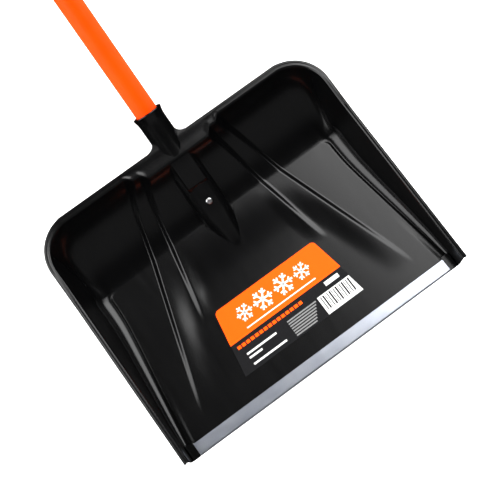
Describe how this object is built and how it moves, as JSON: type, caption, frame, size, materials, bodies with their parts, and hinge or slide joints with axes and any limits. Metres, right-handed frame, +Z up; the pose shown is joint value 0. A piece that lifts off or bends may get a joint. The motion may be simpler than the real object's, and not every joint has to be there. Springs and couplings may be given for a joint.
{
  "type": "snow shovel",
  "caption": "Wide moulded snow scoop with side walls, stepped ribs and a metal wear strip, on a straight coated shaft with a D-grip.",
  "frame": {"origin": "on the ground, under the middle of the shovel's bounding box", "axes": "the shovel lies on its heel and its grip with the scoop open upwards: +X across the scoop, +Y along the shaft from the lip to the grip, +Z up"},
  "size_m": [0.48, 1.4086, 0.1768],
  "materials": {
    "scoop_plastic": "satin black moulded polypropylene with a faint moulded texture",
    "strip_metal": "bright rolled sheet",
    "tube_steel": "plain drawn tube",
    "orange_coating": "smooth semi-gloss plastic coating",
    "plug_plastic": "plain",
    "grip_plastic": "fine matt texture",
    "screw_zinc": "bright zinc plate",
    "label_film": "printed film sticker, orange over black"
  },
  "bodies": {
    "root": {"scoop": "scoop_plastic", "wear_strip": "strip_metal", "shaft_tube": "tube_steel", "shaft_coating": "orange_coating", "tube_plug": "plug_plastic", "grip": "grip_plastic", "socket_screw": "screw_zinc", "grip_screw": "screw_zinc", "label": "label_film"}
  },
  "joints": []
}
